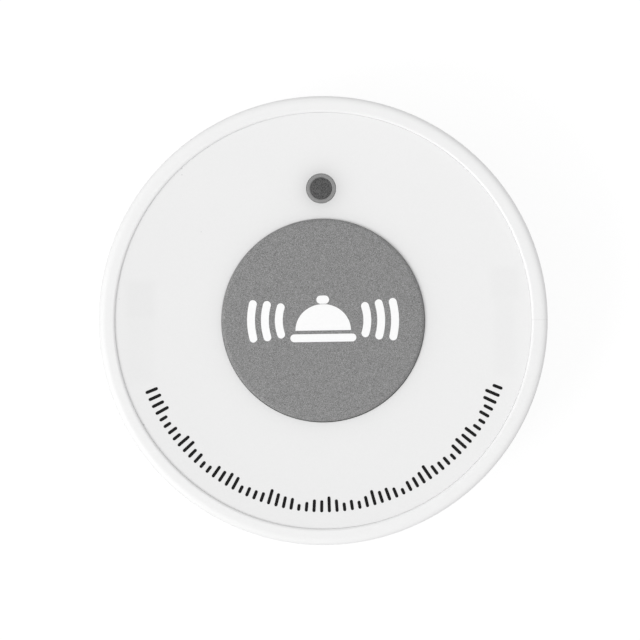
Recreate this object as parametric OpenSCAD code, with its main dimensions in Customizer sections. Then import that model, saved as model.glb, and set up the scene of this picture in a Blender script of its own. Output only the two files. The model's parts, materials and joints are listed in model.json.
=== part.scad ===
// Wireless call button for a table or counter: a round housing with a recessed
// top plate, a large sprung key, an indicator light, a radio board and a coin
// cell behind a quarter-turn door. Millimetres, +Z up, +Y towards the light,
// origin on the table under the middle. Heights are stacked from the table up.

/* [Housing] */
// Outer diameter across the rim
body_d = 60; // [59:0.5:70]
// How much smaller the radius is at the bottom than at the rim
side_tuck = 2.6; // [1.6:0.1:2.8]
// Width of the raised rim around the top plate
rim_w = 2.2; // [1.8:0.05:2.4]
// Drop of the rim's rounded outer edge
rim_drop = 1; // [0.6:0.1:1.6]
// Radius of the rim's inner edge
lip_round = 0.35; // [0.2:0.05:0.5]
// Width of the ledge that the top plate rests on
ledge_w = 2.05; // [1.95:0.05:2.6]
// Thickness of the housing floor
floor_t = 2.2; // [2:0.1:2.6]

/* [Top plate] */
// Thickness of the top plate
plate_t = 1.55; // [1.2:0.05:2.4]
// Depth of the top plate below the rim
plate_recess = 0.35; // [0.1:0.05:0.8]
// Gap between the top plate and the rim
seam_gap = 0.02; // [0.02:0.01:0.25]
// Width of the top plate's face, from the rim to the key
plate_w = 14.2; // [13.8:0.1:18]
// Thickness of the locating skirt under the top plate
skirt_t = 1.2; // [0.8:0.1:1.6]
// Depth of the locating skirt
skirt_h = 2.5; // [1.5:0.1:3.5]
// Width of each snap hook
hook_w = 8; // [5:0.5:12]

/* [Key] */
// Height of the key's edge above the top plate
key_rise = 0.55; // [0.5:0.05:2]
// Extra height of the key at its middle
key_crown = 0.2; // [0.1:0.05:0.6]
// Radius of the key's upper edge
key_round = 0.5; // [0.2:0.05:0.6]
// Thickness of the key's face
key_t = 1.5; // [1:0.1:2]
// Thickness of the key's side wall
key_wall = 1.3; // [1:0.1:2]
// Travel of the key
key_travel = 0.45; // [0.3:0.05:0.8]
// Free height under the key's flange at full press
press_room = 0.05; // [0.05:0.05:2]
// Clearance round the key
key_gap = 0.08; // [0.06:0.01:0.3]

/* [Indicator light] */
// Diameter of the indicator light
light_d = 3; // [2.8:0.1:3.2]
// Length of the indicator light
light_h = 5.3; // [4.5:0.1:6]
// Distance from the key's edge to the middle of the light
light_gap = 4.15; // [3.9:0.05:4.6]
// Wall of the sleeve round the light
collar_wall = 0.44; // [0.4:0.02:0.7]
// Height of the light's sleeve above the top plate
collar_rise = 0.05; // [0:0.05:0.6]
// Depth of the light below the edge of its sleeve
light_recess = 0.15; // [0.05:0.05:0.5]
// Reach of the sleeve's lip over the light's edge
collar_lip = 0.06; // [0:0.01:0.12]

/* [Membrane] */
// Thickness of the membrane's flange
membrane_t = 0.8; // [0.6:0.05:1.2]
// Thickness of the membrane's moving web
web_t = 0.6; // [0.4:0.05:0.8]
// Thickness of the clamp ring
clamp_t = 1.1; // [0.8:0.05:1.4]

/* [Circuit board] */
// Gap between the circuit board and the plate's screw bosses
board_gap = 0.5; // [0.2:0.1:1.2]
// Thickness of the circuit board
board_t = 1.2; // [1:0.1:1.6]
// Diameter of the antenna coil, to the middle of its wire
coil_d = 2.9; // [2.4:0.1:3]
// Diameter of the antenna wire
wire_d = 0.5; // [0.4:0.05:0.6]
// Turns of the antenna coil, which ends on a half turn more
coil_turns = 13; // [6:1:14]
// Distance from one antenna turn to the next
coil_pitch = 1.2; // [1.15:0.05:1.4]

/* [Switch] */
// Side of the switch body
switch_w = 6; // [5.6:0.1:7]
// Height of the switch body
switch_h = 3.5; // [3.2:0.1:5]
// Height of the switch's stem above its body
stem_rise = 0.8; // [0.6:0.1:1.5]
// Diameter of the switch's stem
stem_d = 3.5; // [2.5:0.1:3.6]

/* [Coin cell] */
// Diameter of the coin cell
cell_d = 20; // [19:0.5:20.5]
// Thickness of the coin cell
cell_t = 3.2; // [2.5:0.1:4]
// Room between the coin cell and the board for the contact spring
spring_room = 1.05; // [0.8:0.05:2]

/* [Cell door] */
// Thickness of the cell door's flange
door_t = 1.1; // [1:0.05:1.3]
// Turn from locked to open, in degrees
door_turn = 45; // [44:1:60]
// Width of the coin slot
slot_w = 2; // [1.4:0.1:3]
// Length of the coin slot
slot_l = 15; // [10:0.5:20]
// Depth of the coin slot
slot_depth = 0.6; // [0.3:0.05:0.7]

/* [Base] */
// Height that the foot ring holds the housing off the table
foot_rise = 0.8; // [0.4:0.1:1.5]
// Width of the foot ring
foot_w = 4; // [3.8:0.1:4.4]
// Depth of the foot ring's groove
foot_depth = 0.8; // [0.5:0.1:1]
// Distance between the two wall keyholes
keyhole_span = 35; // [34.6:0.1:35.6]
// Diameter of a keyhole's entry
keyhole_d = 6.2; // [5.6:0.1:6.6]
// Width of a keyhole's slot
keyhole_slot = 3.4; // [3.2:0.1:4]
// Distance that the device drops onto its wall screws
keyhole_drop = 5.8; // [5:0.2:7]

/* [Hidden] */
$fn = 96;
eps = 0.01;
fit = 0.05;          // play between pieces that seat on each other
slip = 0.1;          // play between a piece and what it drops into

// Levels, from the table up
case_z = foot_rise;
floor_z = case_z + floor_t;
door_z = case_z + slip;
door_top = door_z + door_t;
recess_top = door_top + fit;
cell_z = door_top + slip;
cell_top = cell_z + cell_t;
board_z = cell_top + spring_room;
board_top = board_z + board_t;
switch_top = board_top + switch_h;
stem_top = switch_top + stem_rise;
web_z = stem_top + fit;
web_top = web_z + web_t;
key_flange_t = 1;
key_flange_z = web_top + press_room + key_travel;
plate_z = key_flange_z + key_flange_t + slip;
flange_z = plate_z - membrane_t;
clamp_z = flange_z - clamp_t;
plate_top = plate_z + plate_t;
body_h = plate_top + plate_recess;
key_edge = plate_top + key_rise;
key_under = key_edge - key_t;
collar_top = plate_top + collar_rise;
light_top = collar_top - light_recess;
light_z = light_top - light_h;

// Housing
body_r = body_d / 2;
lip_r = body_r - rim_w;
cavity_r = lip_r - ledge_w;
plate_r = lip_r - seam_gap;
edge_round = 0.05;   // the plate's edges
rim_flat = 0.4;      // left on the rim between its two rounded edges
rim_round = rim_w - lip_round - rim_flat;
rim_power = 3;       // 2 is an ellipse, and more is fuller at the shoulder
bottom_round = 1;
belt_drop = 3;       // from the rim down to the widest part of the side
belt_z = body_h - belt_drop;

// Rim seal in a groove along the middle of the ledge
seal_lip = 0.475;    // ledge left on each side of the groove
seal_groove_w = ledge_w - 2 * seal_lip;
seal_d = seal_groove_w - 2 * slip;
seal_squeeze = 0.2;
seal_h = seal_d - seal_squeeze;
seal_r = (lip_r + cavity_r) / 2;

// Screws from below through the housing's towers into the plate's bosses
case_screw_angles = [30, 150, 270];
case_screw_l = 8;
screw_d = 1.7;
screw_gap = 0.04;    // thread play, across the hole
screw_pass = 0.5;    // play of a hole that a screw passes, across
screw_head_d = 3.5;
screw_head_h = 1.3;
screw_head_round = 0.5;
screw_tip_l = 0.8;
screw_tip_d = 0.5;
cross_l = 2.2;
cross_w = 0.5;
cross_depth = 0.6;
tower_d = 5;
tower_wall = 1.6;
tower_floor = 2.8;   // from the housing's underside up to the seat of a screw's head
tower_ledge_z = case_z + tower_floor;
tower_top = tower_ledge_z + tower_wall;
head_play = 0.4;
counterbore_d = screw_head_d + head_play;
boss_d = 4.4;
boss_r = cavity_r - slip - boss_d / 2;
hole_end = 0.5;      // free depth past a screw's tip

// Board and its screws
board_r = boss_r - boss_d / 2 - board_gap;
board_screw_angles = [50, 130, 270];
board_screw_inset = 3;
board_screw_r = board_r - board_screw_inset;
board_screw_l = 5;
post_d = 4.2;

// Key
key_hole_r = plate_r - plate_w;
key_r = key_hole_r - key_gap;
key_flange_w = 0.9;
key_flange_r = key_r + key_flange_w;
key_boss_r = 2.6;
key_rib_t = 0.9;
key_rib_h = 1.2;
guide_angles = [200, 340];
guide_w = 1.2;
guide_t = 0.7;
guide_gap = 0.35;    // between the key's wall and a guide rib
guide_r = key_r + guide_gap;
guide_play = 0.2;

// Membrane, clamp ring and the stakes that hold them
web_gap = 0.25;
web_r = key_flange_r + web_gap;
web_out = web_r + web_t;
clamp_gap = 0.15;
clamp_in = web_out + clamp_gap;
membrane_inset = 0.4;
membrane_r = board_r - membrane_inset;
light_y = key_r + light_gap;
bore_play = 0.02;    // between the light and its sleeve
collar_bore_r = light_d / 2 + bore_play;
collar_r = collar_bore_r + collar_wall;
collar_mouth_r = light_d / 2 - collar_lip;
collar_play = 0.03;  // between the sleeve and its hole in the plate
collar_round = 0.12;
collar_slope = 0.15; // run of the slope from the sleeve's edge down to its mouth
stake_angles = [0, 60, 120, 180, 240, 300];
stake_r = (clamp_in + membrane_r) / 2;
stake_d = 1.8;
stake_head_d = 3;
stake_head_h = 0.6;
stake_chamfer = 0.4;

// Snap hooks on the skirt and their pockets in the housing
skirt_gap = 0.2;
skirt_r = cavity_r - skirt_gap;
hook_angles = [0, 180];
hook_catch = 0.9;
hook_drop = 2;
hook_h = 1.2;
hook_ramp = 0.4;
hook_z = plate_z - skirt_h - hook_drop;
pocket_play = 0.4;

// Cell door, its well and its lugs
spigot_t = 0.8;
cell_play = 0.2;
spigot_in = cell_d / 2 + cell_play;
spigot_r = spigot_in + spigot_t;
spigot_play = 0.12;
bore_r = spigot_r + spigot_play;
lug_reach = 0.95;
lug_r = spigot_r + lug_reach;
lug_h = 0.8;
lug_span = 36;       // degrees
lug_z = floor_z + slip;
lug_top = lug_z + lug_h;
lug_angles = [0, 120, 240];
notch_play = 0.15;
notch_r = lug_r + notch_play;
stop_play = 0.5;     // degrees between a lug and its stop
stop_span = 7;       // degrees
notch_span = lug_span + stop_play;
well_play = 0.3;
well_r = lug_r + well_play;
well_wall = 1.2;
door_seal_d = 0.8;
door_seal_h = 0.7;
door_groove_w = 0.9;
door_lip = 0.2;      // flange left on each side of the seal's groove
door_seal_r = notch_r + door_lip + door_groove_w / 2;
door_r = door_seal_r + door_groove_w / 2 + door_lip;
door_round = 0.3;
door_play = 0.15;
door_hole_r = door_r + door_play;
mark_depth = 0.25;
mark_d = 1.5;
mark_line = [2, 0.5];

// Foot ring, over the screws
foot_in = boss_r - foot_w / 2;
foot_out = boss_r + foot_w / 2;
foot_round = 0.4;
foot_top = case_z + foot_depth;

// Keyholes
keyhole_shift = 0.7; // from the X axis to the middle of the drop
keyhole_y = keyhole_shift - keyhole_drop / 2;
keyhole_skin = 1.2;
keyhole_room = 2.6;
keyhole_wall = 1.2;
keyhole_top = case_z + keyhole_skin + keyhole_room;

// Cell contacts: bent strips under the board
contact_w = 4;
contact_t = 0.2;
leaf_end = 6;        // from the middle to the soldered end
leaf_solder = 2;     // from the middle to where the leaf leaves the board
leaf_touch = 1.4;    // from the middle to the flat that rests on the cell
leaf_flat = 1.2;
leaf_tip = 1;
leaf_rise = 0.4;
clip_foot = 0.9;     // length of the clip's foot past the well wall's inner face

// Switch
switch_cover_t = 0.3;
switch_wall = 0.55;
switch_cavity_r = switch_w / 2 - switch_wall;
switch_floor = 0.7;
switch_cavity_z = board_top + switch_floor;
switch_leg_w = 0.7;
switch_leg_at = 0.375; // places of the legs, as a share of the body's side
dome_h = 0.45;
dome_t = 0.1;
stem_flange_play = 0.25;
stem_flange_r = switch_cavity_r - stem_flange_play;
stem_flange_h = 0.8;
nub_r = 0.7;
stem_edge = 0.2;

// Light
lead_x = [-1.27, 1.27];
lead_w = 0.5;
lead_below = 0.9;
light_flange_w = 0.4;
light_flange_r = light_d / 2 + light_flange_w;
light_flange_h = 1;
light_round = 0.12;

// Radio parts on the board
chip_at = [10.6, 1.5];
chip_size = [3.9, 4.9, 1.4];
chip_pitch = 1.27;
chip_lead_w = 0.4;
chip_lift = 0.1;
lead_t = 0.2;
lead_run = 0.5;
lead_foot = 0.4;
transistor_at = [6.5, -7.5];
transistor_size = [2.9, 1.3, 1];
transistor_pitch = 0.95;
saw_at = [-11.8, 0.5];
saw_d = 9.2;
saw_h = 3.3;
saw_brim = [0.5, 0.4];
saw_round = 0.5;
resistors_at = [[-7, 8.5], [-3.5, 8.5], [3.5, 8.5], [7, 8.5]];
resistor_size = [2, 1.25, 0.6];
capacitors_at = [[-6, -8], [-2.5, -8], [1.5, -8], [-9.5, -6.8]];
capacitor_size = [2, 1.25, 0.9];

// Coin cell
cell_lip = 1.3;      // width of the can's edge and the seal round the cap
cell_cap_h = 1;
cell_cap_r = cell_d / 2 - cell_lip;
cell_seal_t = 0.5;
cell_step = 0.2;     // height of the cap above the can
cell_split = cell_top - cell_cap_h;
can_round = 0.4;
cap_round = 0.2;

// Antenna
coil_steps = 8;
wire_sides = 6;
coil_lift = 0.2;
coil_to_screw = 1.4;
coil_y = -(board_screw_r - screw_head_d / 2 - coil_to_screw - (coil_d + wire_d) / 2);
coil_z = board_top + coil_lift + (coil_d + wire_d) / 2;
coil_end = coil_turns + 0.5;
coil_x = -coil_end * coil_pitch / 2;

// Points along an arc, from one angle to another
function arc(cx, cy, r, from, to, n) =
    [for (i = [0:n]) let (a = from + (to - from) * i / n) [cx + r * cos(a), cy + r * sin(a)]];

// Points along a quarter of a superellipse, from its side up to its top
function shoulder(cx, cy, width, height, power, n) =
    [
        for (i = [0:n])
            let (a = 90 * i / n)
                [cx + width * pow(cos(a), 2 / power), cy + height * pow(sin(a), 2 / power)]
    ];

// Radius of the sphere whose cap has this base radius and height
function cap_radius(base, height) = (base * base + height * height) / (2 * height);

// A ring between two radii and two heights
module ring(r_in, r_out, z0, z1) {
    rotate_extrude() translate([r_in, z0]) square([r_out - r_in, z1 - z0]);
}

// Its children turned to each angle and moved out along it
module around(angles, r = 0) {
    for (a = angles) rotate([0, 0, a]) translate([r, 0, 0]) children();
}

// Its children at each of some places on the board's plan
module at_each(places) {
    for (p = places) translate([p[0], p[1], 0]) children();
}

// A sector of a ring, centred on +X
module sector(r_in, r_out, z0, z1, span) {
    rotate([0, 0, -span / 2])
        rotate_extrude(angle = span)
            translate([r_in, z0]) square([r_out - r_in, z1 - z0]);
}

// A block centred in X and Y that stands on z0
module slab(size, z0) {
    translate([-size[0] / 2, -size[1] / 2, z0]) cube(size);
}

// A round rod on the axis between two heights
module rod(d, z0, z1) {
    translate([0, 0, z0]) cylinder(d = d, h = z1 - z0);
}

// A round-ended slot along +Y
module long_slot(d, length, z0, z1) {
    rod(d, z0, z1);
    translate([0, length, 0]) rod(d, z0, z1);
    translate([-d / 2, 0, z0]) cube([d, length, z1 - z0]);
}

// A pan-head screw with the seat of its head at z0, pointing up
module pan_screw(length, z0) {
    tip_z = z0 + length - screw_tip_l;
    head_z = z0 - screw_head_h;
    difference() {
        union() {
            rotate_extrude()
                polygon(concat(
                    [[0, tip_z], [screw_d / 2, tip_z], [screw_d / 2, z0], [screw_head_d / 2, z0]],
                    arc(screw_head_d / 2 - screw_head_round, head_z + screw_head_round,
                        screw_head_round, 0, -90, 4),
                    [[0, head_z]]
                ));
            translate([0, 0, tip_z]) cylinder(d1 = screw_d, d2 = screw_tip_d, h = screw_tip_l);
        }
        for (a = [0, 90]) rotate([0, 0, a]) slab([cross_l, cross_w, cross_depth + eps], head_z - eps);
    }
}

// A bent lead that leaves a body's side at x = 0 and stands on the board
module gull_lead(width, rise) {
    bend = lead_run + lead_t;
    foot = bend + lead_foot;
    translate([0, width / 2, board_top]) rotate([90, 0, 0])
        linear_extrude(width)
            polygon([
                [0, rise], [lead_run, rise], [lead_run, 0], [foot, 0], [foot, lead_t],
                [bend, lead_t], [bend, rise + lead_t], [0, rise + lead_t]
            ]);
}

// Half outline of the housing: floor, swelling side, rim, ledge and cell well
function case_outline() =
    let (
        side_h = belt_z - case_z,
        side_r = cap_radius(side_h, side_tuck),
        side_x = body_r - side_r,
        toe_r = side_r - bottom_round,
        toe_dz = side_h - bottom_round,
        toe_x = side_x + sqrt(toe_r * toe_r - toe_dz * toe_dz),
        toe_angle = -asin(toe_dz / toe_r),
        above_toe = toe_angle * 0.9,
        seal_z = plate_z - seal_h
    )
    concat(
        [
            [bore_r, floor_z], [bore_r, recess_top], [door_hole_r, recess_top],
            [door_hole_r, case_z], [foot_in - slip, case_z], [foot_in - slip, foot_top],
            [foot_out + slip, foot_top], [foot_out + slip, case_z]
        ],
        arc(toe_x, case_z + bottom_round, bottom_round, -90, toe_angle, 5),
        arc(side_x, belt_z, side_r, above_toe, 0, 9),
        shoulder(body_r - rim_round, body_h - rim_drop, rim_round, rim_drop, rim_power, 10),
        arc(lip_r + lip_round, body_h - lip_round, lip_round, 90, 180, 4),
        [
            [lip_r, plate_z],
            [seal_r + seal_groove_w / 2, plate_z], [seal_r + seal_groove_w / 2, seal_z],
            [seal_r - seal_groove_w / 2, seal_z], [seal_r - seal_groove_w / 2, plate_z],
            [cavity_r, plate_z], [cavity_r, floor_z], [well_r + well_wall, floor_z],
            [well_r + well_wall, board_z], [well_r, board_z], [well_r, floor_z]
        ]
    );

module rear_case() color("whitesmoke")
    difference() {
        union() {
            rotate_extrude() polygon(case_outline());
            around(case_screw_angles, boss_r) rod(tower_d, floor_z - eps, tower_top);
            around(board_screw_angles, board_screw_r) rod(post_d, floor_z - eps, board_z);
            for (s = [-1, 1])
                translate([s * keyhole_span / 2, keyhole_y, 0])
                    long_slot(keyhole_d + 2 * keyhole_wall, keyhole_drop,
                        floor_z - eps, keyhole_top + keyhole_wall);
            around(lug_angles) {
                door_stop(lug_span / 2 + stop_play + stop_span / 2);
                door_stop(-door_turn - lug_span / 2 - stop_play - stop_span / 2);
            }
        }
        around(case_screw_angles, boss_r) {
            rod(counterbore_d, case_z, tower_ledge_z);
            rod(screw_d + screw_pass, case_z, tower_top + eps);
        }
        around(board_screw_angles, board_screw_r)
            rod(screw_d + screw_gap, board_top - board_screw_l - hole_end, board_z + eps);
        for (s = [-1, 1]) translate([s * keyhole_span / 2, keyhole_y, 0]) keyhole();
        around(lug_angles) rotate([0, 0, -door_turn])
            sector(bore_r - fit, notch_r, recess_top - eps, floor_z + eps, notch_span);
        around(hook_angles) hook_pocket();
        around([90, 90 - door_turn], door_hole_r + 2 * mark_d)
            translate([0, 0, case_z - eps]) rotate([0, 0, 180])
                cylinder(d = mark_d, h = mark_depth + eps, $fn = 3);
        contact_gate();
    }

// A wall screw's way in: entry, slot, and the wide room behind both
module keyhole() {
    skin_top = case_z + keyhole_skin;
    rod(keyhole_d, case_z - eps, skin_top + eps);
    long_slot(keyhole_slot, keyhole_drop, case_z - eps, skin_top + eps);
    long_slot(keyhole_d, keyhole_drop, skin_top, keyhole_top);
}

// A stop for a door lug, on the floor inside the well wall
module door_stop(angle) {
    rotate([0, 0, angle]) sector(bore_r + slip, well_r + eps, floor_z - eps, lug_top, stop_span);
}

// The pocket in the housing wall that a snap hook springs into
module hook_pocket() {
    z_top = hook_z + hook_h + slip;
    r_out = skirt_r + hook_catch + pocket_play;
    intersection() {
        ring(cavity_r - pocket_play, r_out, hook_z - pocket_play, z_top);
        translate([0, -hook_w / 2 - pocket_play, 0]) cube([body_r, hook_w + 2 * pocket_play, body_h]);
    }
}

// The gate in the well wall that the cell's side contact passes
module contact_gate() {
    play = 0.3;
    inside = 0.5;
    translate([well_r - inside, -contact_w / 2 - play, lug_top + play])
        cube([well_wall + inside + slip, contact_w + 2 * play, board_z - lug_top]);
}

module foot_ring() color("dimgray")
    rotate_extrude()
        polygon(concat(
            [[foot_in, foot_top]],
            arc(foot_in + foot_round, foot_round, foot_round, 180, 270, 3),
            arc(foot_out - foot_round, foot_round, foot_round, 270, 360, 3),
            [[foot_out, foot_top]]
        ));

module case_screws() color("silver")
    around(case_screw_angles, boss_r) pan_screw(case_screw_l, tower_ledge_z);

module board_screws() color("silver")
    around(board_screw_angles, board_screw_r)
        translate([0, 0, board_top]) rotate([180, 0, 0]) pan_screw(board_screw_l, 0);

module top_plate() color("white")
    difference() {
        union() {
            rotate_extrude()
                polygon(concat(
                    [
                        [key_hole_r, plate_z], [skirt_r - skirt_t, plate_z],
                        [skirt_r - skirt_t, plate_z - skirt_h], [skirt_r, plate_z - skirt_h],
                        [skirt_r, plate_z], [plate_r, plate_z]
                    ],
                    arc(plate_r - edge_round, plate_top - edge_round, edge_round, 0, 90, 4),
                    arc(key_hole_r + edge_round, plate_top - edge_round, edge_round, 90, 180, 4)
                ));
            around(case_screw_angles, boss_r) rod(boss_d, tower_top + fit, plate_z + eps);
            around(stake_angles, stake_r) stake();
            around(hook_angles) snap_hook();
            around(guide_angles, guide_r)
                translate([0, -guide_w / 2, key_flange_z])
                    cube([guide_t, guide_w, plate_z - key_flange_z + eps]);
        }
        around(case_screw_angles, boss_r)
            rod(screw_d + screw_gap, tower_top, tower_ledge_z + case_screw_l + hole_end);
        translate([0, light_y, 0]) light_hole();
    }

// The hole for the light's sleeve, with its upper edge broken
module light_hole() {
    r = collar_r + collar_play;
    rotate_extrude()
        polygon([
            [0, plate_z - eps], [r, plate_z - eps], [r, plate_top - edge_round],
            [r + edge_round + eps, plate_top + eps], [0, plate_top + eps]
        ]);
}

// A pin that passes the membrane and the clamp ring and is melted over below
module stake() {
    rod(stake_d, clamp_z - eps, plate_z + eps);
    translate([0, 0, clamp_z - stake_head_h])
        cylinder(d1 = stake_head_d - 2 * stake_chamfer, d2 = stake_head_d, h = stake_head_h);
}

// A hook below the skirt, with a ramp under its catch
module snap_hook() {
    skirt_z = plate_z - skirt_h;
    intersection() {
        rotate_extrude()
            polygon([
                [skirt_r - skirt_t, skirt_z + eps], [skirt_r - skirt_t, hook_z], [skirt_r, hook_z],
                [skirt_r + hook_catch, hook_z + hook_h - hook_ramp],
                [skirt_r + hook_catch, hook_z + hook_h], [skirt_r, hook_z + hook_h],
                [skirt_r, skirt_z + eps]
            ]);
        translate([0, -hook_w / 2, 0]) cube([body_r, hook_w, body_h]);
    }
}

// A round seal pressed flat between the floor of its groove and its cover
module flat_seal(r, d, h, z_top) {
    rotate_extrude()
        intersection() {
            translate([r, z_top - h / 2]) circle(d = d);
            translate([r - d, z_top - h]) square([2 * d, h]);
        }
}

module rim_seal() color("darkgray") flat_seal(seal_r, seal_d, seal_h, plate_z);

// One moulding: a flange under the plate, a sleeve round the light, a web under the key
module silicone_membrane() color("gray")
    difference() {
        union() {
            rotate_extrude()
                polygon([
                    [0, web_z], [web_out, web_z], [web_out, flange_z], [membrane_r, flange_z],
                    [membrane_r, plate_z], [web_r, plate_z], [web_r, web_top], [0, web_top]
                ]);
            translate([0, light_y, 0])
                rotate_extrude()
                    polygon(concat(
                        [[0, plate_z - eps], [collar_r, plate_z - eps]],
                        arc(collar_r - collar_round, collar_top - collar_round, collar_round, 0, 90, 3),
                        [
                            [collar_mouth_r + collar_slope, collar_top], [collar_mouth_r, light_top],
                            [0, light_top]
                        ]
                    ));
        }
        translate([0, light_y, 0]) rod(2 * collar_bore_r, flange_z - eps, light_top + bore_play);
        around(stake_angles, stake_r) rod(stake_d + 2 * fit, flange_z - eps, plate_z + eps);
    }

module clamp_ring() color("gainsboro")
    difference() {
        ring(clamp_in, membrane_r, clamp_z, flange_z);
        translate([0, light_y, 0]) rod(light_d + 4 * slip, clamp_z - eps, flange_z + eps);
        around(stake_angles, stake_r) rod(stake_d + 2 * fit, clamp_z - eps, flange_z + eps);
    }

// Half outline of the key: crown, edge, wall, flange, face and pressing boss
function key_outline() =
    let (
        face_r = key_r - key_round,
        crown_r = cap_radius(face_r, key_crown),
        slope = asin(face_r / crown_r),
        short_of_edge = slope * 0.95
    )
    concat(
        arc(0, key_edge + key_crown - crown_r, crown_r, 90, 90 - short_of_edge, 8),
        arc(face_r, key_edge - key_round, key_round, 90 - slope, 0, 6),
        [
            [key_r, key_flange_z + key_flange_t], [key_flange_r, key_flange_z + key_flange_t],
            [key_flange_r, key_flange_z], [key_r - key_wall, key_flange_z],
            [key_r - key_wall, key_under], [key_boss_r, key_under],
            [key_boss_r, web_top + fit], [0, web_top + fit]
        ]
    );

module call_key() color("gray")
    difference() {
        union() {
            rotate_extrude() polygon(key_outline());
            for (a = [0:90:270]) rotate([0, 0, a])
                translate([key_boss_r - slip, -key_rib_t / 2, key_under - key_rib_h])
                    cube([key_r - key_wall - key_boss_r + 2 * slip, key_rib_t, key_rib_h + slip]);
        }
        around(guide_angles, guide_r - guide_play)
            translate([0, -guide_w / 2 - guide_play, key_flange_z - eps])
                cube([guide_t + 2 * guide_play, guide_w + 2 * guide_play, key_flange_t + 2 * eps]);
    }

module circuit_board() color("seagreen")
    difference() {
        rod(2 * board_r, board_z, board_top);
        around(board_screw_angles, board_screw_r) rod(screw_d + screw_pass, board_z - eps, board_top + eps);
        for (x = lead_x) translate([x, light_y, 0])
            slab([lead_w + 2 * fit, lead_w + 2 * fit, board_t + 2 * eps], board_z - eps);
        for (turn = [0, coil_end]) translate([coil_point(turn)[0], coil_point(turn)[1], 0])
            rod(wire_d + 2 * slip, board_z - eps, board_top + eps);
    }

module switch_body() color("dimgray")
    difference() {
        slab([switch_w, switch_w, switch_h - switch_cover_t], board_top);
        rod(2 * switch_cavity_r, switch_cavity_z, switch_top);
    }

module switch_cover() color("silver")
    difference() {
        slab([switch_w, switch_w, switch_cover_t], switch_top - switch_cover_t);
        rod(stem_d + 2 * slip, switch_top - switch_cover_t - eps, switch_top + eps);
    }

module switch_terminals() color("silver")
    for (side = [0, 180], s = [-1, 1])
        rotate([0, 0, side]) translate([switch_w / 2, s * switch_w * switch_leg_at, 0])
            gull_lead(switch_leg_w, switch_h / 4);

// The sprung contact: a thin spherical cap on the floor of the switch's cavity
module switch_dome() color("silver") {
    base = switch_cavity_r - slip;
    outer = cap_radius(base, dome_h);
    half = asin(base / outer);
    z = switch_cavity_z + dome_h - outer;
    inner_half = acos((outer - dome_h) / (outer - dome_t));
    rotate_extrude()
        polygon(concat(
            arc(0, z, outer, 90, 90 - half, 6),
            arc(0, z, outer - dome_t, 90 - inner_half, 90, 6)
        ));
}

module switch_stem() color("dimgray") {
    flange_top = switch_top - switch_cover_t - fit;
    rotate_extrude()
        polygon([
            [0, switch_cavity_z + dome_h + fit], [nub_r, switch_cavity_z + dome_h + fit],
            [nub_r, flange_top - stem_flange_h], [stem_flange_r, flange_top - stem_flange_h],
            [stem_flange_r, flange_top], [stem_d / 2, flange_top],
            [stem_d / 2, stem_top - stem_edge], [stem_d / 2 - stem_edge, stem_top], [0, stem_top]
        ]);
}

module indicator_light() color("dimgray")
    translate([0, light_y, 0])
        rotate_extrude()
            polygon(concat(
                [
                    [0, light_z], [light_flange_r, light_z],
                    [light_flange_r, light_z + light_flange_h], [light_d / 2, light_z + light_flange_h]
                ],
                arc(light_d / 2 - light_round, light_top - light_round, light_round, 0, 90, 5),
                [[0, light_top]]
            ));

module light_leads() color("silver")
    for (x = lead_x) translate([x, light_y, 0])
        slab([lead_w, lead_w, light_z - board_z + lead_below], board_z - lead_below);

module light_spacer() color("white")
    difference() {
        translate([0, light_y, 0]) rod(2 * light_flange_r, board_top, light_z);
        for (x = lead_x) translate([x, light_y, 0])
            slab([lead_w + 2 * fit, lead_w + 2 * fit, light_z - board_top + 2 * eps], board_top - eps);
    }

module encoder_chip() color("black") at_each([chip_at]) slab(chip_size, board_top + chip_lift);

module radio_transistor() color("black")
    at_each([transistor_at]) slab(transistor_size, board_top + chip_lift);

module chip_leads() color("silver") {
    at_each([chip_at])
        for (side = [0, 180], i = [-1.5:1:1.5])
            rotate([0, 0, side]) translate([chip_size[0] / 2, i * chip_pitch, 0])
                gull_lead(chip_lead_w, chip_size[2] / 2);
    at_each([transistor_at])
        for (lead = [[-90, -transistor_pitch], [-90, transistor_pitch], [90, 0]])
            rotate([0, 0, lead[0]]) translate([transistor_size[1] / 2, lead[1], 0])
                gull_lead(chip_lead_w, transistor_size[2] / 2);
}

module saw_resonator() color("silver") {
    can_r = saw_d / 2 - saw_brim[0];
    at_each([saw_at])
        rotate_extrude()
            polygon(concat(
                [
                    [0, board_top], [saw_d / 2, board_top],
                    [saw_d / 2, board_top + saw_brim[1]], [can_r, board_top + saw_brim[1]]
                ],
                arc(can_r - saw_round, board_top + saw_h - saw_round, saw_round, 0, 90, 4),
                [[0, board_top + saw_h]]
            ));
}

module chip_resistors() color("darkslategray") at_each(resistors_at) slab(resistor_size, board_top);

module chip_capacitors() color("tan") at_each(capacitors_at) slab(capacitor_size, board_top);

// Middle of the antenna wire after a number of turns, which start and end on the way up or down
function coil_point(turn) =
    [
        coil_x + coil_pitch * turn,
        coil_y - coil_d / 2 * cos(360 * turn),
        coil_z + coil_d / 2 * sin(360 * turn)
    ];

// Surface points of the wire round a centre, with one way out at an angle in the Y-Z plane
function wire_ring(c, angle) =
    [
        for (k = [0:wire_sides - 1])
            let (a = 360 * k / wire_sides, out = wire_d / 2 * sin(a))
                c + [wire_d / 2 * cos(a), -out * cos(angle), out * sin(angle)]
    ];

// A point of the coil brought down to the underside of the board
function board_foot(p) = [p[0], p[1], board_z];

function coil_rings() =
    concat(
        [wire_ring(board_foot(coil_point(0)), 0)],
        [
            for (i = [0:coil_end * coil_steps])
                wire_ring(coil_point(i / coil_steps), 360 * i / coil_steps)
        ],
        [wire_ring(board_foot(coil_point(coil_end)), 360 * coil_end)]
    );

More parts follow.
